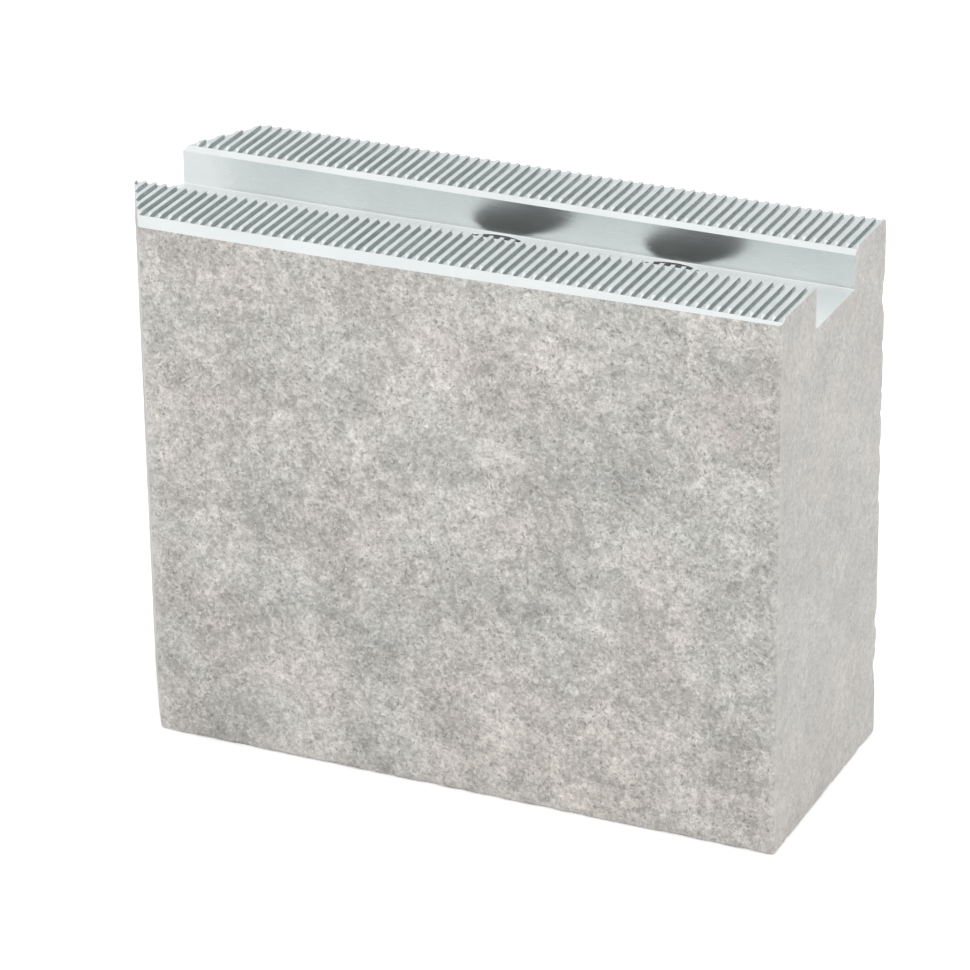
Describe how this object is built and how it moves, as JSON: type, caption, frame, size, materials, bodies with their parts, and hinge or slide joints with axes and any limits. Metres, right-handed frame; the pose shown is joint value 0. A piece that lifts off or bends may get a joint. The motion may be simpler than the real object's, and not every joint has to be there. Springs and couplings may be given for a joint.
{
  "type": "machinable soft jaw",
  "caption": "Tall pointed soft jaw of machinable aluminium for a power chuck, with a serrated chuck face, a tongue slot and counterbored screw holes.",
  "frame": {"origin": "middle of the jaw's footprint, on the work face that it stands on", "axes": "+X from the pointed nose to the outer end, +Z from the work face up to the serrated chuck face, Y across the jaw"},
  "size_m": [0.1016, 0.0382, 0.0762],
  "materials": {
    "aluminium": "bare tumbled aluminium bar, with bright milled slot, bevels and serrations"
  },
  "bodies": {
    "root": {"soft_jaw": "aluminium"}
  },
  "joints": []
}
